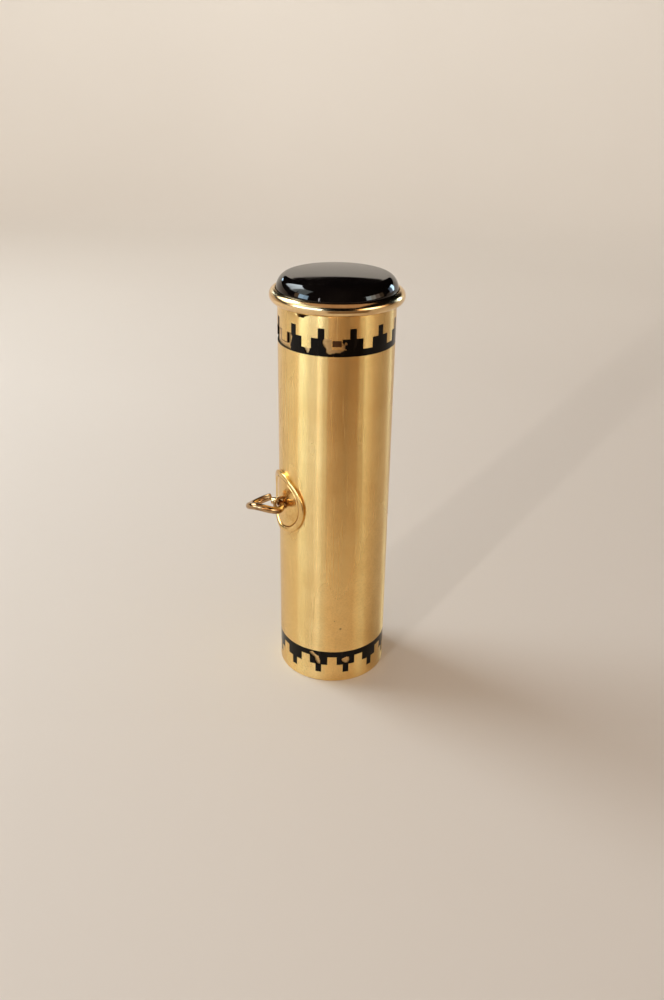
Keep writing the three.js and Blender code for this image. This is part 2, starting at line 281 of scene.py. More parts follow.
def gold(name, colour, dull, roughness, streak=0.0, scratch=0.3, tone_size=220, spots=()):
    """Yellow gold: slow changes of tone, fine scratches, small pits and, where streak is set, a polish
    that runs round the tube and draws the reflections out along it. Spots are places and sizes."""
    shader = Shader(name)
    tone = shader.noise(tone_size, detail=5, roughness=0.6)
    cloud = shader.noise(70, detail=3, stretch=(1, 1, 0.35))
    around_lines = shader.noise(900, detail=3, stretch=(0.15, 0.15, 6))
    along_lines = shader.noise(1400, detail=2, stretch=(3, 3, 0.05))
    pits = shader.noise(2600, detail=1)
    shade = shader.mix(shader.band(tone, 0.35, 0.7), colour, dull)
    for place, size in spots:
        away = shader.node("ShaderNodeVectorMath", operation="DISTANCE")
        shader.link(shader.place, away.inputs[0])
        away.inputs[1].default_value = place
        stain = shader.band(away.outputs["Value"], size * 0.3, size, 0.75, 0)
        shade = shader.mix(stain, shade, SPOT_BROWN)
    grain = shader.noise(4200, detail=3, roughness=0.7)
    shade = shader.mix(shader.band(grain, 0.42, 0.68, 0, 0.16), shade, SPOT_BROWN)
    worn = shader.band(cloud, 0.35, 0.65, roughness * 0.85, roughness * 1.2)
    rough = shader.maths("ADD", worn, shader.band(along_lines, 0.62, 0.75, 0, 0.08))
    lines = shader.maths("MULTIPLY", around_lines, 0.5)
    height = shader.maths("ADD", lines, shader.band(pits, 0.2, 0.32, 0, 1))
    normal = shader.bump(height, scratch, 0.004 * MM)
    normal = shader.bump(cloud, 0.15, 0.05 * MM, onto=normal)
    if streak:
        tangent = shader.node("ShaderNodeTangent", direction_type="RADIAL", axis="Z")
        shader.link(tangent.outputs["Tangent"], shader.surface.inputs["Tangent"])
        shader.set(Anisotropic=streak, Anisotropic_Rotation=ANISO_TURN)
    return shader.set(Base_Color=shade, Metallic=1.0, Roughness=rough, Normal=normal)


# Small tarnished pits in the tube's face: angle, height and size in millimetres.
PITS = [(-20.5, 9.5, 0.24), (-27.0, 10.9, 0.12), (70.0, 31.0, 0.2), (140.0, 18.0, 0.25)]
PIT_SPOTS = [(around(CASE_R, angle, height * MM), size * MM) for angle, height, size in PITS]
GOLD = (0.93, 0.645, 0.26)
GOLD_DULL = (0.85, 0.555, 0.205)

case_gold = gold("case_gold", GOLD, GOLD_DULL, 0.27, streak=1.0, spots=PIT_SPOTS)
bare_gold = gold("bare_recess_gold", (0.82, 0.55, 0.25), (0.58, 0.36, 0.14), 0.40, scratch=1.0, tone_size=900)
# Near-black painted shade for the faces of the nail notch. It stands for the shadow inside the notch.
notch_painted_shade = gold("notch_painted_shade", (0.030, 0.012, 0.005), (0.014, 0.006, 0.003), 0.55, scratch=1.0, tone_size=900)
residue = gold("brown_residue", (0.13, 0.065, 0.03), (0.08, 0.04, 0.018), 0.4, scratch=1.0, tone_size=900)
# Painted shade for the low faces of the plaque's groove and the moulding's base, where it meets the tube.
groove_painted_shade = gold("groove_painted_shade", (0.20, 0.095, 0.035), (0.10, 0.045, 0.018), 0.4, scratch=1.0, tone_size=900)
plaque_gold = gold("plaque_gold", GOLD, (0.72, 0.42, 0.13), 0.22, scratch=0.4, tone_size=500)
bright_gold = gold("bright_gold", (0.90, 0.66, 0.34), (0.80, 0.54, 0.26), 0.19, scratch=0.2, tone_size=500)
# The ring's gold is dark: partly tarnish, and partly painted shade that stands for the dark surroundings its
# wire mirrors.
ring_tarnished_shaded_gold = gold("ring_tarnished_shaded_gold", (0.66, 0.44, 0.21), (0.27, 0.135, 0.06), 0.12, scratch=0.35, tone_size=700)
# Painted shade: the staple's gold is darkened so that it reads as the shaded brown spot where the ring meets
# the plaque.
eye_shaded_gold = gold("eye_shaded_gold", (0.50, 0.31, 0.13), (0.26, 0.14, 0.06), 0.25, scratch=0.5, tone_size=900)
inner_gilt = gold("inner_gilt", (0.74, 0.47, 0.18), (0.60, 0.36, 0.13), 0.34, streak=0.5)
brass = gold("mechanism_brass", (0.58, 0.42, 0.17), (0.42, 0.28, 0.11), 0.38, scratch=0.6)


def black_enamel():
    """Glossy black glass with a faint orange peel, fine scratches and pinholes."""
    shader = Shader("black_enamel")
    peel = shader.noise(500, detail=2)
    scratches = shader.noise(1500, detail=3, stretch=(1, 1, 0.2))
    holes = shader.noise(3200, detail=1)
    shade = shader.mix(shader.band(scratches, 0.55, 0.75), (0.003, 0.002, 0.001), (0.012, 0.008, 0.005))
    rough = shader.band(scratches, 0.4, 0.7, 0.10, 0.24)
    height = shader.maths("ADD", peel, shader.band(holes, 0.22, 0.3, 0, 0.5))
    normal = shader.bump(height, 0.25, 0.01 * MM)
    return shader.set(Base_Color=shade, Roughness=rough, Normal=normal, Specular_IOR_Level=0.13)


def black_onyx():
    """Polished black stone with hairline scratches and a breath of grease."""
    shader = Shader("black_onyx")
    cloud = shader.noise(160, detail=4)
    hairs = shader.noise(1200, detail=2, stretch=(1, 0.06, 1), distortion=0.4)
    specks = shader.noise(2400, detail=1)
    shade = shader.mix(shader.band(cloud, 0.5, 0.8), (0.004, 0.003, 0.003), (0.010, 0.008, 0.007))
    grease = shader.band(cloud, 0.4, 0.7, 0.03, 0.09)
    rough = shader.maths("ADD", grease, shader.band(specks, 0.2, 0.26, 0.15, 0))
    normal = shader.bump(hairs, 0.05, 0.004 * MM)
    return shader.set(Base_Color=shade, Roughness=rough, IOR=1.54, Normal=normal)


def steel_clip():
    """Grey spring steel, drawn lengthwise."""
    shader = Shader("clip_steel")
    lines = shader.noise(900, detail=3, stretch=(0.2, 0.2, 5))
    shade = shader.mix(shader.band(lines, 0.4, 0.7), (0.50, 0.50, 0.48), (0.33, 0.33, 0.33))
    rough = shader.band(lines, 0.3, 0.7, 0.25, 0.45)
    normal = shader.bump(lines, 0.3, 0.005 * MM)
    return shader.set(Base_Color=shade, Metallic=1.0, Roughness=rough, Normal=normal)


def fibre():
    """Brown pressed fibre."""
    shader = Shader("fibre_washer")
    threads = shader.noise(2200, detail=5, roughness=0.7)
    shade = shader.mix(threads, (0.16, 0.075, 0.035), (0.07, 0.035, 0.02))
    return shader.set(Base_Color=shade, Roughness=0.85, Normal=shader.bump(threads, 0.6, 0.02 * MM))


def lipstick_wax():
    """Waxy red with pigment specks and soft smears along the stick."""
    shader = Shader("lipstick_wax")
    pigment = shader.noise(2600, detail=4, roughness=0.7)
    smears = shader.noise(420, detail=4, stretch=(1, 1, 0.2))
    shade = shader.mix(shader.band(pigment, 0.35, 0.7), (0.44, 0.010, 0.016), (0.30, 0.004, 0.010))
    rough = shader.band(smears, 0.35, 0.7, 0.28, 0.48)
    normal = shader.bump(shader.maths("ADD", smears, pigment), 0.25, 0.02 * MM)
    return shader.set(Base_Color=shade, Roughness=rough, Normal=normal, Subsurface_Weight=0.08)


enamel = black_enamel()
onyx = black_onyx()
wax = lipstick_wax()

# ---------- the stepped pattern ----------

TOWERS = 12
TOWER_PITCH = 360 / TOWERS
TOWER_START = 16
STEP_HALF = 10
SPIRE_HALF = 3.25
# Shares of a band's height, from its plain edge: the strip's top, the steps' top and the spires' tips.
STRIP_SHARE = 0.257
STEP_SHARE = 0.635
RECESS = 0.25 * MM


def even(low, high, count):
    """Evenly spaced values from low up to, but not including, high."""
    return [low + (high - low) * step / count for step in range(count)]


# Column edges across half a tower and its valley, in degrees from the tower's middle.
HALF_COLUMNS = (
    even(0, SPIRE_HALF, 5) + even(SPIRE_HALF, STEP_HALF, 10) + even(STEP_HALF, TOWER_PITCH / 2, 7)
)


def column_angles():
    tower = sorted({-offset for offset in HALF_COLUMNS} | set(HALF_COLUMNS))
    tower.append(TOWER_PITCH / 2)
    return [TOWER_START + TOWER_PITCH * index + offset for index in range(TOWERS) for offset in tower]


COLUMNS = column_angles()


def in_pattern(angle, share):
    """True where a band is enamelled, by angle and by height above its plain edge."""
    if not 0 <= share <= 1:
        return False
    offset = abs((angle - TOWER_START + TOWER_PITCH / 2) % TOWER_PITCH - TOWER_PITCH / 2)
    if share < STRIP_SHARE:
        return True
    return offset < (STEP_HALF if share < STEP_SHARE else SPIRE_HALF)


def blot(angle, height, wide, tall):
    """A ragged outline of lost enamel. Its half width is in degrees and its half height in millimetres."""
    outline = []
    for turn in range(0, 360, 20):
        reach = 1 + 0.45 * noise.noise(Vector((angle, height, turn / 55)))
        along = angle + wide * reach * math.cos(turn * DEG)
        outline.append((along, height + tall * reach * math.sin(turn * DEG)))
    return outline


# Where the enamel has come away: outlines of angle in degrees and height in millimetres.
UPPER_LOSSES = [
    [
        (-39.0, 54.0), (-42.5, 53.6), (-43.2, 53.2), (-41.6, 52.8), (-39.4, 52.4), (-39.6, 52.0),
        (-37.3, 51.8), (-34.7, 51.75), (-32.7, 51.9), (-29.1, 51.95), (-25.8, 52.0), (-23.6, 52.2),
        (-19.9, 52.35), (-20.4, 52.5), (-21.8, 52.6), (-20.9, 52.9), (-18.9, 53.1), (-19.1, 53.3),
        (-21.0, 53.4), (-22.3, 53.1), (-24.2, 53.35), (-25.1, 54.1),
    ],
    [
        (-61.8, 52.7), (-54.6, 52.7), (-55.5, 52.1), (-56.9, 51.7), (-58.2, 51.6), (-59.6, 51.7),
        (-60.7, 52.0), (-62.3, 52.3),
    ],
    blot(131, 51.9, 4.5, 0.6),
    blot(196, 54.2, 2.8, 0.9),
    blot(64, 53.0, 2.6, 0.7),
]
# Here a thin rim of enamel is left along the recess's edges.
RIMMED_LOSS = [
    (-125, 50), (-125, 56), (-77.3, 56), (-77.3, 53.7), (-76, 53.4), (-78.4, 52.2), (-77.7, 51.2),
    (-77.7, 50),
]
LOWER_LOSSES = [
    [
        (-54.5, 5.05), (-50.7, 5.1), (-47.6, 4.75), (-43.5, 4.4), (-41.6, 3.3), (-42.5, 2.85),
        (-44.9, 2.85), (-47.8, 3.4), (-48.6, 4.0), (-51.9, 4.25), (-54.9, 4.55),
    ],
    [
        (-18.9, 3.85), (-17.1, 4.15), (-13.2, 4.35), (-9.5, 4.2), (-8.8, 3.6), (-10.1, 3.1),
        (-13.6, 3.05), (-15.8, 3.2), (-17.6, 3.4),
    ],
    blot(88, 4.8, 5, 0.6),
    blot(170, 3.4, 2.2, 0.9),
]
# A brown film is left on the plain face between two towers, within these angles and heights.
FILM_ANGLES = (-33.0, -24.9)
FILM_HEIGHTS = (52.78, 53.62)


def wrapped(angle):
    """The same angle between -180 and 180 degrees."""
    return (angle + 180) % 360 - 180


def inside(outline, angle, height):
    """True for a point within an outline."""
    within = False
    for (a, low), (b, high) in zip(outline, outline[1:] + outline[:1]):
        if (low > height) != (high > height) and angle < a + (height - low) * (b - a) / (high - low):
            within = not within
    return within


def is_lost(band, angle, height, share):
    """True where the enamel has come away."""
    angle = wrapped(angle)
    if any(inside(outline, angle, height / MM) for outline in band["losses"]):
        return True
    if band["rimmed"] and inside(band["rimmed"], angle, height / MM):
        nearby = [(angle + turn, share + step) for turn in (-1.2, 0, 1.2) for step in (-0.03, 0.03)]
        return all(in_pattern(*spot) for spot in nearby)
    return False


def band_rows(edge, tip, count=36):
    """Row heights of a band, set so that rows fall on the pattern's own edges."""
    shares = [0, STRIP_SHARE, STEP_SHARE, 1]
    rows = []
    for low, high in zip(shares, shares[1:]):
        rows.extend(even(low, high, round(count * (high - low))))
    rows.append(1)
    return [(edge + (tip - edge) * share, share) for share in rows]


UPPER = {"edge": UPPER_LOW.z, "tip": UPPER_HIGH.z, "losses": UPPER_LOSSES, "rimmed": RIMMED_LOSS}
LOWER = {"edge": LOWER_HIGH.z, "tip": LOWER_LOW.z, "losses": LOWER_LOSSES, "rimmed": None}


def cells_of(band):
    """Rows from low to high, and for each cell between them whether its enamel is lost."""
    rows = band_rows(band["edge"], band["tip"])
    if band["tip"] < band["edge"]:
        rows.reverse()
    columns = COLUMNS + [COLUMNS[0] + 360]
    cells = {}
    for row in range(len(rows) - 1):
        height, share = ((a + b) / 2 for a, b in zip(rows[row], rows[row + 1]))
        for column in range(len(COLUMNS)):
            angle = (columns[column] + columns[column + 1]) / 2
            if in_pattern(angle, share):
                cells[row, column] = is_lost(band, angle, height, share)
    return [height for height, share in rows], cells


def cell_corners(row, column):
    """A cell's corners as rows and columns, anticlockwise from its lower left."""
    return [(row, column), (row, column + 1), (row + 1, column + 1), (row + 1, column)]


def neighbours(row, column):
    """The cells below, to the right, above and to the left of a cell."""
    right = (column + 1) % len(COLUMNS)
    left = (column - 1) % len(COLUMNS)
    return [(row - 1, column), (row, right), (row + 1, column), (row, left)]


class Skin:
    """A mesh made of cells of a column and row grid round the tube, each at its own radius."""

    def __init__(self, heights):
        self.heights = heights
        self.points = []
        self.faces = []
        self.slots = []
        self.known = {}

    def face(self, corner, slot=0):
        self.faces.append(tuple(corner))
        self.slots.append(slot)

    def point(self, row, column, radius):
        key = (row, column % len(COLUMNS), round(radius * 1e7))
        if key not in self.known:
            self.known[key] = len(self.points)
            self.points.append(around(radius, COLUMNS[key[1]], self.heights[row]))
        return self.known[key]

    def cell(self, row, column, radius, inward=False, slot=0):
        face = [self.point(r, c, radius) for r, c in cell_corners(row, column)]
        self.face(reversed(face) if inward else face, slot)

    def wall(self, row, column, side, inner, outer):
        """The wall on one side of a cell: 0 below, 1 to the right, 2 above, 3 to the left."""
        corner = cell_corners(row, column)
        stops = [(corner[side], outer), (corner[side], inner)]
        stops += [(corner[(side + 1) % 4], inner), (corner[(side + 1) % 4], outer)]
        self.face(self.point(*place, radius) for place, radius in stops)


ENAMEL_SUNK = 0.01 * MM
ENAMEL_GAP = 0.004 * MM


def make_enamel(name, band):
    """One band's enamel, less its chips. What is left round the rimmed loss is brown."""
    heights, cells = cells_of(band)
    skin = Skin(heights)
    face_r = CASE_R - ENAMEL_SUNK
    back_r = CASE_R - RECESS + ENAMEL_GAP
    kept = {key for key, lost in cells.items() if not lost}
    for row, column in sorted(kept):
        angle = wrapped(COLUMNS[column])
        brown = int(bool(band["rimmed"]) and inside(band["rimmed"], angle, heights[row] / MM))
        skin.cell(row, column, face_r, slot=brown)
        skin.cell(row, column, back_r, inward=True)
        for side, beside in enumerate(neighbours(row, column)):
            if beside not in kept:
                skin.wall(row, column, side, back_r, face_r)
    return piece(
        name, skin.points, skin.faces, enamel, "case", [name], sharp=30, others=[residue], slots=skin.slots
    )


NOTCH_DEEP = 0.3 * MM
NOTCH_SLOPE = 0.06 * MM
# The nail notch's lower edge: angle in degrees and depth below the tube's mouth in millimetres.
NOTCH = [(-79, 0), (-76, 0.05), (-70, 0.14), (-67, 0.5), (-62, 0.46), (-59.5, 0.22), (-56, 0.1), (-54, 0)]


def notch_height(angle):
    """The height above which the nail notch has been cut away at an angle."""
    angle = wrapped(angle)
    for (a, high), (b, low) in zip(NOTCH, NOTCH[1:]):
        if a < angle < b:
            return CASE_TOP - (high + (low - high) * (angle - a) / (b - a)) * MM
    return CASE_TOP + MM


# Material slots of the tube's skin, after its gold: the notch's painted shade, the residue and the bare
# recess gold.
NOTCH_SHADE_SLOT, RESIDUE_SLOT, BARE_SLOT = 1, 2, 3
FOOT_EDGE = 0.15 * MM
RIM_EDGE = FOOT_EDGE / 2
PLAIN_ROWS = 40


def tube_rows():
    """Heights and radii of the skin's rows from the foot to the mouth, and the recessed cells."""
    lower_heights, lower_cells = cells_of(LOWER)
    upper_heights, upper_cells = cells_of(UPPER)
    foot_turns = (0, 22.5, 45, 67.5, 90)
    rim_turns = (0, 30, 60, 90)
    foot = [TUBE_LOW.z + FOOT_EDGE * (1 - math.cos(turn * DEG)) for turn in foot_turns]
    foot_r = [CASE_R - FOOT_EDGE * (1 - math.sin(turn * DEG)) for turn in foot_turns]
    rim = [CASE_TOP - RIM_EDGE * (1 - math.sin(turn * DEG)) for turn in rim_turns]
    rim_r = [CASE_R - RIM_EDGE * (1 - math.cos(turn * DEG)) for turn in rim_turns]
    notch_rows = [CASE_TOP - drop * MM for drop in (0.62, 0.5, 0.4, 0.3, 0.2, 0.12)]
    plain = even(lower_heights[-1], upper_heights[0], PLAIN_ROWS)[1:]
    heights = foot + lower_heights + plain + upper_heights + notch_rows + rim
    radii = foot_r + [CASE_R] * (len(heights) - len(foot) - len(rim)) + rim_r
    lower_start = len(foot)
    upper_start = len(foot) + len(lower_heights) + len(plain)
    recessed = {(row + lower_start, column) for row, column in lower_cells}
    recessed |= {(row + upper_start, column) for row, column in upper_cells}
    return heights, radii, recessed


def add_bore(skin, top, surface):
    """The tube's mouth, its bore and its foot ring, below the row called top."""
    count = len(COLUMNS)
    start = len(skin.points)
    for height in (CASE_TOP, TUBE_LOW.z):
        skin.points.extend(around(BORE_R, angle, height) for angle in COLUMNS)
    for column in range(count):
        following = (column + 1) % count
        mouth, mouth_next = start + column, start + following
        base, base_next = mouth + count, mouth_next + count
        rim = [skin.point(top, c, surface(top, c)) for c in (column, column + 1)]
        foot = [skin.point(0, c, surface(0, c)) for c in (column, column + 1)]
        skin.face((rim[0], rim[1], mouth_next, mouth))
        skin.face((mouth, mouth_next, base_next, base))
        skin.face((base, base_next, foot[1], foot[0]))


def make_tube():
    """The tube's outer skin with both recesses, its rounded edges, the nail notch and its bore."""
    heights, radii, recessed = tube_rows()
    skin = Skin(heights)
    floor_r = CASE_R - RECESS

    def surface(row, column):
        above = heights[row] - notch_height(COLUMNS[column % len(COLUMNS)])
        return radii[row] - NOTCH_DEEP * min(1, max(0, above / NOTCH_SLOPE))

    def slot_of(row, column):
        height = (heights[row] + heights[row + 1]) / 2
        angle = wrapped(COLUMNS[column] + 0.3)
        # Faces of the nail notch take the near-black painted shade.
        if height > notch_height(angle):
            return NOTCH_SHADE_SLOT
        in_film = FILM_ANGLES[0] < angle < FILM_ANGLES[1]
        if in_film and FILM_HEIGHTS[0] < height / MM < FILM_HEIGHTS[1]:
            return RESIDUE_SLOT
        return 0

    for row in range(len(heights) - 1):
        for column in range(len(COLUMNS)):
            if (row, column) not in recessed:
                corner = [skin.point(r, c, surface(r, c)) for r, c in cell_corners(row, column)]
                skin.face(corner, slot_of(row, column))
                continue
            skin.cell(row, column, floor_r, slot=BARE_SLOT)
            for side, beside in enumerate(neighbours(row, column)):
                if beside not in recessed:
                    skin.wall(*beside, (side + 2) % 4, floor_r, CASE_R)
    add_bore(skin, len(heights) - 1, surface)
    return piece(
        "case_tube_skin", skin.points, skin.faces, case_gold, "case", ["case_tube"],
        sharp=30, others=(notch_painted_shade, residue, bare_gold), slots=skin.slots,
    )


make_tube()
make_enamel("upper_enamel_band", UPPER)
make_enamel("lower_enamel_band", LOWER)


def make_floor():
    """The base disc, with the shallow dish and rounded edge that spinning leaves."""
    low, high = FLOOR_LOW.z, FLOOR_HIGH.z
    edge = 0.12 * MM
    rim = FLOOR_HIGH.x
    profile = [(0, low + 0.06 * MM), (rim * 0.5, low + 0.05 * MM), (rim * 0.9, low + 0.01 * MM)]
    profile += arc(rim - edge, low + edge, edge, edge, -90, 0, 4) + [(rim, high), (0, high)]
    return piece("case_floor_disc", *turned(profile, 128), case_gold, "case", ["case_floor"])


make_floor()

# ---------- plaque, eye and ring ----------

PLAQUE_Z = (BORDER_LOW.z + BORDER_HIGH.z) / 2
PLAQUE_R = (BORDER_HIGH.z - BORDER_LOW.z) / 2
PLAQUE_TURN = -3 * DEG
FIELD_R = (PLATE_HIGH.z - PLATE_LOW.z) / 2
FIELD_RISE = 0.3 * MM
BORDER_RISE = 0.56 * MM


def on_tube(point):
    """Wraps a point of a flat piece, its face towards +Z, round the tube on the -X side."""
    side = point.x / CASE_R + PLAQUE_TURN
    radius = CASE_R + point.z
    return Vector((-radius * math.cos(side), -radius * math.sin(side), PLAQUE_Z + point.y))


PLAQUE_SEAT = 0.03 * MM
# Faces lower than this above the tube take the groove's painted shade.
PAINTED_SHADE_DEPTH = 0.13 * MM


def plaque_piece(name, profile, sides, node):
    """A turned piece wrapped round the tube. Its faces that lie low in the groove, close to the tube, take a
    darker painted shade.
    """
    points, faces = turned(profile, sides, on_tube)
    slots = []
    for face in faces:
        middle = sum((points[corner] for corner in face), Vector()) / len(face)
        slots.append(int(math.hypot(middle.x, middle.y) - CASE_R < PAINTED_SHADE_DEPTH))
    piece(name, points, faces, plaque_gold, "case", [node], others=[groove_painted_shade], slots=slots, sharp=50)


def make_plaque():
    """The plate with its soft edge, and the moulding that stands round it."""
    soft, deep = 0.24 * MM, 0.2 * MM
    inner = even(0, FIELD_R, 8)
    plate = [(radius, PLAQUE_SEAT) for radius in inner] + [(FIELD_R, PLAQUE_SEAT)]
    plate += arc(FIELD_R - soft, FIELD_RISE - deep, soft, deep, 0, 90, 6)
    plate += [(radius, FIELD_RISE) for radius in reversed(inner)]
    plaque_piece("plaque_field", plate, 120, "plaque_plate")
    low = FIELD_R + 0.03 * MM
    ridge = low + 0.4 * MM
    lip, wall = 0.24 * MM, 0.42 * MM
    border = [(low, PLAQUE_SEAT), (ridge, PLAQUE_SEAT), (PLAQUE_R, PLAQUE_SEAT)]
    border += arc(ridge, BORDER_RISE - lip, PLAQUE_R - ridge, lip, 0, 90, 10)
    border += arc(ridge, BORDER_RISE - wall, low - ridge, wall, 80, 10, 7)
    plaque_piece("plaque_moulding", border, 160, "plaque_border")


make_plaque()

WIRE_R = 0.52 * MM
RING_R = 2.28 * MM
EYE_WIRE_R = 0.22 * MM
EYE_R = (EYE_HIGH.z - EYE_LOW.z) / 2 - EYE_WIRE_R


def make_eye():
    """A staple: a half circle of wire with both feet on the plate."""
    foot = -(CASE_R + FIELD_RISE + 0.01 * MM)
    path = [Vector((foot, 0, PIVOT.z - EYE_R))]
    steps = 24
    for step in range(steps + 1):
        turn = (-90 + 180 * step / steps) * DEG
        path.append(Vector((PIVOT.x - EYE_R * math.cos(turn), 0, PIVOT.z + EYE_R * math.sin(turn))))
    path.append(Vector((foot, 0, PIVOT.z + EYE_R)))
    piece("ring_staple", *swept(path, EYE_WIRE_R, 24), eye_shaded_gold, "case", ["ring_eye"])


def make_ring():
    """A split ring of round wire. Its inner side lies in the eye and its ends are twisted apart."""
    tilt, lean = 7.3 * DEG, 11 * DEG
    pitch, lift, bow, twist = 0.17 * MM, 0.38 * MM, 0.14 * MM, 0.26 * MM
    cut, cut_at = 6, -137
    span = 360 - cut
    outward = Vector((-math.cos(tilt), 0, math.sin(tilt)))
    sideways = Vector((0, -math.cos(lean), math.sin(lean)))
    normal = outward.cross(sideways).normalized()

    def bend(turn):
        """How far the wire lies out of the ring's plane."""
        along = (turn - cut_at - cut / 2) / span
        free = max(0, 1 - 3 * along)
        wave = bow * math.cos(2 * turn * DEG) + twist * math.sin(2 * turn * DEG)
        return pitch * (0.5 - along) + lift * free * free + wave

    centre = PIVOT + outward * RING_R - normal * bend(180)
    path = []
    stops = 140
    for stop in range(stops + 1):
        turn = cut_at + cut / 2 + span * stop / stops
        flat = outward * math.cos(turn * DEG) + sideways * math.sin(turn * DEG)
        path.append(centre + flat * RING_R + normal * bend(turn))
    piece("chain_ring", *swept(path, WIRE_R, 32, cap_round=0.05 * MM), ring_tarnished_shaded_gold, "ring", ["split_ring"])


make_eye()
make_ring()

# ---------- head ----------

RIM_BORE_R = 7.3 * MM
SETTING_R = 8.26 * MM
BEAD_R = 0.9 * MM
LEDGE_Z = STONE_LOW.z - 0.05 * MM


def make_bezel():
    """The bead, with the wall that holds the stone and the ledge that it sits on."""
    bead_z = RIM_LOW.z + BEAD_R
    top = bead_z + BEAD_R
    profile = [(RIM_BORE_R, RIM_LOW.z)]
    profile += arc(RIM_HIGH.x - BEAD_R, bead_z, BEAD_R, BEAD_R, -90, 80, 40)
    profile += [(SETTING_R + 0.04 * MM, top - 0.01 * MM), (SETTING_R, top - 0.04 * MM)]
    profile += [(SETTING_R, LEDGE_Z), (RIM_BORE_R, LEDGE_Z)]
    piece("bead_rim", *turned(profile, 240), bright_gold, "head", ["bezel_rim"])


def make_stone():
    """The cabochon: an upright girdle, an oval shoulder and a slightly domed top."""
    girdle_r = STONE_HIGH.x
    girdle_z = 58.26 * MM
    shoulder_r = 6.7 * MM
    shoulder_z = 60.32 * MM
    crown = STONE_HIGH.z - shoulder_z
    low = STONE_LOW.z
    bevel = 0.15 * MM
    dome_rows = 16
    profile = [(0, low), (girdle_r - bevel, low), (girdle_r, low + bevel)]
    profile += arc(shoulder_r, girdle_z, girdle_r - shoulder_r, shoulder_z - girdle_z, 0, 86, 24)
    for row in range(dome_rows, -1, -1):
        share = row / dome_rows
        profile.append((shoulder_r * share, shoulder_z + crown * (1 - share ** 2)))
    piece("onyx_stone", *turned(profile, 192), onyx, "head", ["onyx_cabochon"])


make_bezel()
make_stone()

# ---------- insert and lipstick ----------


SHELL_BORE_R = 6.55 * MM
FINGERS = 6
FINGER_COLUMNS = 26
FINGER_LONG = 9 * MM
FINGER_ROWS = 18
SLEEVE_ROWS = 12


def make_shell():
    """The grip shell: a thin tube with sprung fingers that swell a little towards the bore."""
    slit = 0.5 * MM / SHELL_HIGH.x / DEG
    span = 360 / FINGERS - slit
    angles = []
    for finger in range(FINGERS):
        start = 360 / FINGERS * (finger + 0.5) + slit / 2
        angles.extend(start + span * step / (FINGER_COLUMNS - 1) for step in range(FINGER_COLUMNS))
    slit_top = SHELL_LOW.z + FINGER_LONG
    heights = even(SHELL_LOW.z, slit_top, FINGER_ROWS) + even(slit_top, SHELL_HIGH.z, SLEEVE_ROWS)
    heights.append(SHELL_HIGH.z)
    points = []
    for height in heights:
        down = max(0, (slit_top - height) / FINGER_LONG)
        swell = 0.12 * MM * math.sin(math.pi * down) * down
        for radius in (SHELL_BORE_R, SHELL_HIGH.x):
            points.extend(around(radius + swell, angle, height) for angle in angles)
    count = len(angles)
    faces = []

    def quad(*corners):
        """A face from (row, layer, column) corners. Layer 0 is the bore and layer 1 the outside."""
        faces.append(tuple((2 * row + layer) * count + column % count for row, layer, column in corners))

    last = len(heights) - 1
    for row in range(last):
        up = row + 1
        for column in range(count):
            beside = column + 1
            if row < FINGER_ROWS and beside % FINGER_COLUMNS == 0:
                quad((row, 1, column), (row, 0, column), (up, 0, column), (up, 1, column))
                quad((up, 1, beside), (up, 0, beside), (row, 0, beside), (row, 1, beside))
                continue
            quad((row, 1, column), (row, 1, beside), (up, 1, beside), (up, 1, column))
            quad((row, 0, beside), (row, 0, column), (up, 0, column), (up, 0, beside))
    for column in range(count):
        beside = column + 1
        quad((last, 1, column), (last, 1, beside), (last, 0, beside), (last, 0, column))
        # The lower edge runs along the fingers' ends and along the top of each slit.
        edge = FINGER_ROWS if beside % FINGER_COLUMNS == 0 else 0
        quad((edge, 1, beside), (edge, 1, column), (edge, 0, column), (edge, 0, beside))
    piece("grip_shell_tube", points, faces, inner_gilt, "insert", ["grip_shell"])


def make_bullet():
    """The lipstick: a round stick whose tip is sliced at a slant, with a soft edge to the slice."""
    radius = BULLET_HIGH.x
    top = BULLET_HIGH.z
    tip = BULLET_LOW.z
    rows = 40
    slant = 5.5 * MM
    slice_up = 0.25 * MM
    nose_long = 2.2 * MM
    edge = 0.5 * MM
    edge_soft = 0.12 * MM

    def cut_height(x, y):
        """The slice's height under a point of the stick, or the rounded nose's where that is higher."""
        plane = tip + slant / 2 + slant * y / (2 * radius) + slice_up
        off = min(1, math.hypot(x, y) / radius)
        nose = tip + nose_long * (1 - math.sqrt(max(0, 1 - off ** 4)))
        blend = max(0, 1 - abs(plane - nose) / edge)
        return max(plane, nose) + edge_soft * blend * blend

    end = [(radius * row / rows, tip) for row in range(rows + 1)]
    points, faces = turned(end + [(radius, top), (0, top)], 96)
    for point in points:
        if abs(point.z - tip) < 1e-9:
            point.z = cut_height(point.x, point.y)
    piece("lipstick_stick", points, faces, wax, "carrier", ["lipstick_bullet"], sharp=60)


make_shell()
make_bullet()


def finish_cad_nodes():
    """Materials for the CAD nodes that stay as they are."""
    finishes = {
        "stone_backing": inner_gilt,
        "centre_rivet": brass,
        "guide_tube": brass,
        "drag_washer": fibre(),
        "retaining_ring": steel_clip(),
        "spiral_sleeve": brass,
        "carrier_cup": inner_gilt,
        "carrier_lug_a": brass,
        "carrier_lug_b": brass,
    }
    for name, material in finishes.items():
        node = frame["nodes"][name]
        node.data.materials.clear()
        node.data.materials.append(material)


finish_cad_nodes()

# ---------- stage, light and camera ----------

# Where the camera stands, in degrees from -Y towards +X.
VIEW_TURN = -29.7


def direction(azimuth, elevation):
    """A unit vector. The azimuth is counted from the camera's side, positive to its right."""
    turn = (azimuth + VIEW_TURN) * DEG
    flat = math.cos(elevation * DEG)
    return Vector((flat * math.sin(turn), -flat * math.cos(turn), math.sin(elevation * DEG)))


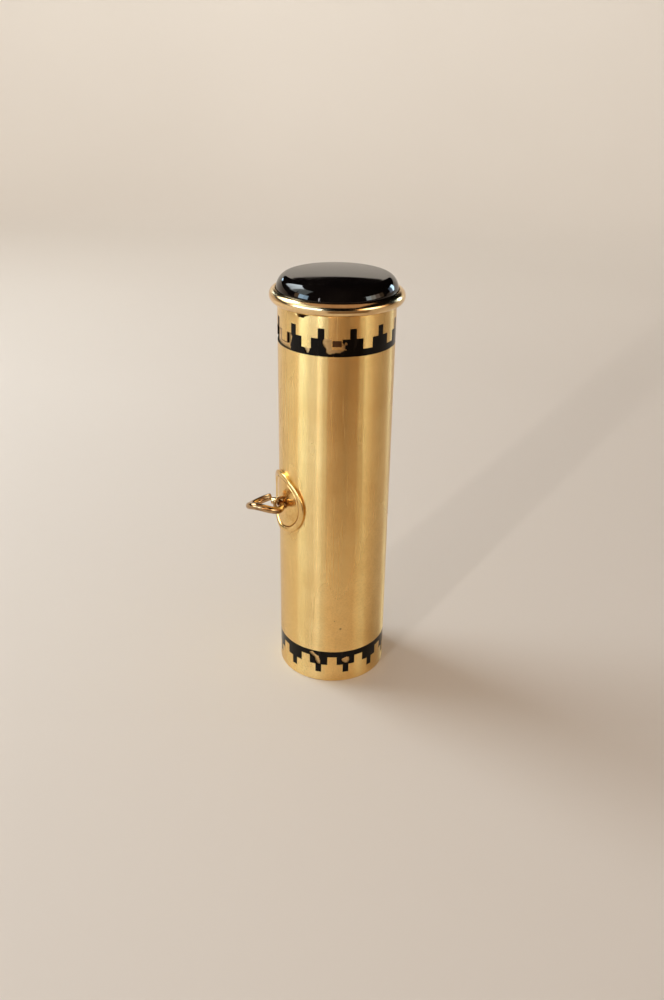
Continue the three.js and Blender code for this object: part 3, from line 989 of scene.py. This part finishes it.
def stage_sheet(name, points, faces, material, unseen_by=()):
    """A surface of the stage. The kinds of rays that it is unseen by pass through it."""
    mesh = bpy.data.meshes.new(name)
    mesh.from_pydata([tuple(point) for point in points], [], faces)
    for polygon in mesh.polygons:
        polygon.use_smooth = True
    mesh.materials.append(material)
    sheet = bpy.data.objects.new(name, mesh)
    bpy.context.collection.objects.link(sheet)
    for rays in unseen_by:
        setattr(sheet, "visible_" + rays, False)


STAGE_FRONT = -1.6
STAGE_BACK = 0.34
STAGE_SIDE = 2.2
SWEEP = 0.18
WALL_TOP = 0.2155
WALL_ABOVE_TOP = 0.9


def pale_floor():
    """Smooth pale paper with a faint cloud and grain."""
    shader = Shader("pale_floor")
    cloud = shader.noise(6, detail=2)
    grain = shader.noise(900, detail=3)
    shade = shader.mix(shader.band(cloud, 0.3, 0.7), (0.76, 0.72, 0.67), (0.79, 0.75, 0.70))
    return shader.set(Base_Color=shade, Roughness=0.7, Normal=shader.bump(grain, 0.1, 0.02 * MM))


def make_stage():
    """A pale floor that sweeps up behind into a low wall, which goes on upwards for the eye alone,
    so that the polish still mirrors it only up to its low top."""
    material = pale_floor()
    turns = range(6, 91, 6)
    rows = [(STAGE_FRONT, 0), (-0.4, 0), (0, 0), (STAGE_BACK, 0)]
    rows += [(STAGE_BACK + SWEEP * math.sin(t * DEG), SWEEP * (1 - math.cos(t * DEG))) for t in turns]
    wall = STAGE_BACK + SWEEP
    rows.append((wall, WALL_TOP))

    def across(depth, height):
        ahead = direction(180, 0) * depth + Vector((0, 0, height))
        return [ahead + direction(90, 0) * side for side in (-STAGE_SIDE, STAGE_SIDE)]

    points = [point for row in rows for point in across(*row)]
    faces = [(2 * row, 2 * row + 1, 2 * row + 3, 2 * row + 2) for row in range(len(rows) - 1)]
    stage_sheet("floor", points, faces, material)
    points = across(wall, WALL_TOP) + across(wall, WALL_ABOVE_TOP)
    unseen_by = ("glossy", "diffuse", "transmission", "shadow")
    stage_sheet("wall_above", points, [(0, 1, 3, 2)], material, unseen_by)


def make_reflected_shade_sheet():
    """A dark sheet on the floor before the case. Only mirrored rays meet it, so it puts a painted reflection
    of shaded floor into the polish.
    """
    shader = Shader("reflected_shade_card")
    grain = shader.noise(300, detail=3)
    # Brown painted reflection of the shaded floor before the case.
    shade = shader.mix(grain, (0.26, 0.17, 0.10), (0.20, 0.13, 0.08))
    material = shader.set(Base_Color=shade, Roughness=0.9)
    lift = Vector((0, 0, 0.4 * MM))
    turns = range(-16, 57, 8)
    near, far = 0.066, 0.6
    points = [direction(turn, 0) * reach + lift for reach in (near, far) for turn in turns]
    count = len(turns)
    faces = [(k, k + 1, count + k + 1, count + k) for k in range(count - 1)]
    stage_sheet("reflected_shade_sheet", points, faces, material, ("camera", "diffuse", "transmission", "shadow"))


CASE_MIDDLE = Vector((0, 0, CASE_TOP / 2))


def softbox(name, azimuth, elevation, distance, size, power, colour, target=CASE_MIDDLE):
    """An area light seen from the case's middle in a given direction. It looks at the target."""
    light = bpy.data.lights.new(name, "AREA")
    light.shape = "RECTANGLE"
    light.size, light.size_y = size
    light.energy = power
    light.color = colour
    made = bpy.data.objects.new(name, light)
    made.location = CASE_MIDDLE + direction(azimuth, elevation) * distance
    made.rotation_euler = (made.location - target).to_track_quat("Z", "Y").to_euler()
    made.visible_camera = False
    bpy.context.collection.objects.link(made)
    return made


# Tints of the cards, from the blue of the sky to the brown of a lamplit room.
BLUE = (0.56, 0.74, 1.0)
COOL = (0.58, 0.82, 1.0)
WHITE = (0.92, 1.0, 0.95)
CREAM = (1.0, 0.92, 0.75)
WARM = (1.0, 0.74, 0.56)
AMBER = (1.0, 0.63, 0.34)
# Pale cards round the case, met only by mirrored rays: azimuth, watts and tint.
LOW_CARDS = [
    (-150, 0.50, COOL), (-80, 0.12, AMBER), (-70, 0.84, COOL), (-60, 0.66, COOL), (-50, 0.48, BLUE),
    (-40, 0.48, BLUE), (-30, 0.71, BLUE), (-20, 0.18, COOL), (-10, 0.28, WARM), (0, 0.19, WARM),
    (10, 0.13, AMBER), (20, 0.05, AMBER), (30, 0.12, AMBER), (40, 0.18, AMBER), (50, 0.40, CREAM),
    (60, 0.42, WHITE), (70, 0.30, CREAM), (80, 0.15, WARM), (90, 0.05, AMBER), (120, 0.10, BLUE),
    (130, 0.96, COOL),
]
HIGH_CARDS = [
    (-96, 0.49, WHITE), (-72, 0.44, WHITE), (-48, 0.22, WHITE), (-24, 0.38, WHITE), (24, 0.35, WARM),
]
CARD_REACH = 0.75
# Cards between these azimuths are kept off the stone and off the bead.
STONE_SHADE = (-55, 55)
BEAD_SHADE = (-25, 40)


def card(name, azimuth, elevation, half_angles, watts, tint):
    """A pale card that lights nothing but shows in the polish."""
    size = [2 * CARD_REACH * math.tan(half * DEG) for half in half_angles]
    made = softbox(name, azimuth, elevation, CARD_REACH, size, watts, tint)
    made.visible_diffuse = False
    if BEAD_SHADE[0] < azimuth < BEAD_SHADE[1]:
        made.light_linking.receiver_collection = all_but("onyx_stone", "bead_rim")
    elif STONE_SHADE[0] < azimuth < STONE_SHADE[1]:
        made.light_linking.receiver_collection = all_but("onyx_stone")


def all_but(*names):
    """A set of receivers for a light that leaves out the named pieces."""
    title = "all but " + " ".join(names)
    if title not in bpy.data.collections:
        shaded = bpy.data.collections.new(title)
        for name in names:
            shaded.objects.link(bpy.data.objects[name])
        for held in shaded.collection_objects:
            held.light_linking.link_state = "EXCLUDE"
    return bpy.data.collections[title]


def make_world():
    """A warm, even room that the polish doesn't mirror."""
    world = bpy.data.worlds.new("warm_room")
    bpy.context.scene.world = world
    world.use_nodes = True
    background = world.node_tree.nodes["Background"]
    background.inputs["Color"].default_value = (0.435, 0.338, 0.262, 1)
    background.inputs["Strength"].default_value = 1.0
    world.cycles_visibility.glossy = False


def make_lights():
    """A cool window on the left, a small lamp in front, a wash on the wall and the mirrored cards."""
    window = softbox(
        "window_left", azimuth=-112, elevation=40, distance=0.50, size=(0.26, 0.25), power=0.38,
        colour=(0.88, 0.96, 1.0), target=direction(-95, 0) * 0.13,
    )
    window.data.spread = 84 * DEG
    lamp = softbox(
        "lamp_front_left", azimuth=-32, elevation=13, distance=1.1, size=(0.03, 0.03), power=3.4,
        colour=(1.0, 0.94, 0.86),
    )
    lamp.visible_glossy = False
    softbox(
        "wall_wash", azimuth=-170, elevation=52, distance=0.42, size=(0.9, 0.10), power=1.02,
        colour=(0.95, 1.0, 0.98), target=direction(-175, 0) * 0.52 + Vector((0, 0, 0.16)),
    )
    for azimuth, watts, tint in LOW_CARDS:
        card(f"card_{azimuth}", azimuth, 12, (5, 9), watts, tint)
    for azimuth, watts, tint in HIGH_CARDS:
        card(f"high_card_{azimuth}", azimuth, 36, (9.8, 14), watts, tint)
    glint = softbox(
        "glint", azimuth=-33, elevation=10, distance=1.1, size=(0.035, 0.30), power=0.28,
        colour=(1.0, 0.97, 0.95),
    )
    glint.visible_diffuse = False
    ceiling = softbox(
        "ceiling", azimuth=0, elevation=80, distance=0.75, size=(0.9, 0.9), power=1.1,
        colour=(1.0, 0.66, 0.46),
    )
    ceiling.visible_diffuse = False
    ceiling.light_linking.receiver_collection = all_but("onyx_stone")


CAMERA_OUT = 124.56 * MM
CAMERA_UP = 89.50 * MM
CAMERA_PITCH = 26.67
CAMERA_YAW = -0.13
CAMERA_ROLL = 0.86


def make_camera():
    """A close view from above, a little left of the case's front."""
    data = bpy.data.cameras.new("camera")
    data.sensor_width = 36
    data.lens = 34.0
    data.clip_start = 0.005
    data.clip_end = 20
    camera = bpy.data.objects.new("camera", data)
    place = direction(0, 0) * CAMERA_OUT + Vector((0, 0, CAMERA_UP))
    heading = Matrix.Rotation((VIEW_TURN - CAMERA_YAW) * DEG, 4, "Z")
    tilt = Matrix.Rotation((90 - CAMERA_PITCH) * DEG, 4, "X")
    roll = Matrix.Rotation(CAMERA_ROLL * DEG, 4, "Z")
    camera.matrix_world = Matrix.Translation(place) @ heading @ tilt @ roll
    bpy.context.collection.objects.link(camera)
    bpy.context.scene.camera = camera
    bpy.context.scene.view_settings.view_transform = "Standard"


make_stage()
make_reflected_shade_sheet()
make_world()
make_lights()
make_camera()
